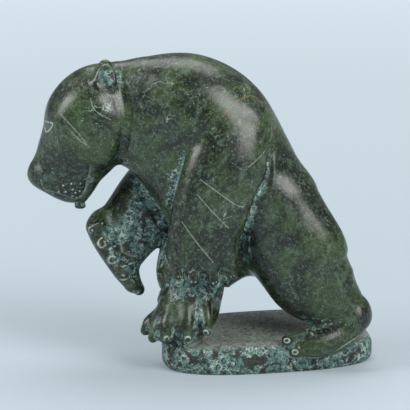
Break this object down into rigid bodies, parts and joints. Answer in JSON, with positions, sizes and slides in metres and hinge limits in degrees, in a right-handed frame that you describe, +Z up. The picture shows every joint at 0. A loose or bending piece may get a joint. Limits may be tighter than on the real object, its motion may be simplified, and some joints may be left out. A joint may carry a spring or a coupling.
{
  "type": "soapstone bear carving",
  "caption": "Dark green soapstone carving of a walking bear, upright with bowed head and one raised forepaw, on a low rock base cut from the same stone.",
  "frame": {"origin": "middle of the carving's bounding box, on the flat underside of the rock base", "axes": "+Z up, -X the way the bear faces, -Y its near side with the hanging forepaw"},
  "size_m": [0.2248, 0.0816, 0.2045],
  "materials": {
    "soapstone": "dark green mottled soapstone, the bear polished and waxed, hollows dusty blue-green, rock base left rough"
  },
  "bodies": {
    "root": {"bear_on_rock_base": "soapstone"}
  },
  "joints": []
}
